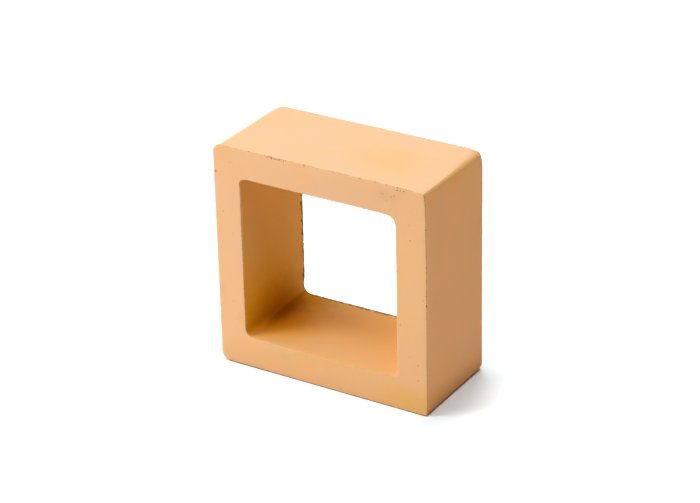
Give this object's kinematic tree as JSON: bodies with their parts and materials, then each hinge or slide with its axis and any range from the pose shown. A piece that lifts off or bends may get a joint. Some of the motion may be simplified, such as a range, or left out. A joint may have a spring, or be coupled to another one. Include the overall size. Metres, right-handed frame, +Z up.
{
  "type": "ceramic breeze block",
  "caption": "Square clay breeze block: a one-piece fired tube with rounded corners and a wide square opening from front to back, for ventilated screen walls.",
  "frame": {"origin": "on the bed face, under the centre of the block", "axes": "+X across the face to the right as seen from the front, +Y from the front face to the back face, +Z up"},
  "size_m": [0.19, 0.088, 0.19],
  "materials": {
    "fired_clay": "unglazed, matte"
  },
  "bodies": {
    "root": {"breeze_block": "fired_clay"}
  },
  "joints": []
}
